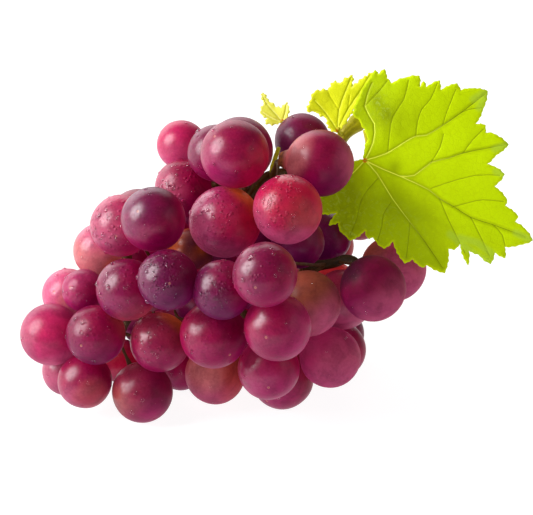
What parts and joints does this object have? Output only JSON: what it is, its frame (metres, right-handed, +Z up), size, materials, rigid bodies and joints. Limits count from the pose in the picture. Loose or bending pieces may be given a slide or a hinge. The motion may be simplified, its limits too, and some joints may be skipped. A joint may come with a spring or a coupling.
{
  "type": "bunch of grapes",
  "caption": "Bunch of large red table grapes lying on its side, with its woody stalk, a broad lobed vine leaf and two small young leaves.",
  "frame": {"origin": "on the surface that the bunch lies on, under the middle of its box", "axes": "+Z up from the surface, +X towards the end with the stalk and the leaves, -Y towards the side that the picture shows"},
  "size_m": [0.2052, 0.1462, 0.1203],
  "materials": {
    "berries": "smooth translucent red to purple skin with a thin grey bloom and fine water drops",
    "stem": "matt olive green to brown bark with small pale specks",
    "leaf_large": "thin satin yellow-green blade with pale raised veins",
    "leaf_small": "thin matt bright yellow-green blade",
    "leaf_young": "thin matt pale yellow blade"
  },
  "bodies": {
    "root": {"berries": "berries", "stem": "stem", "leaf_large": "leaf_large", "leaf_small": "leaf_small", "leaf_young": "leaf_young"}
  },
  "joints": []
}
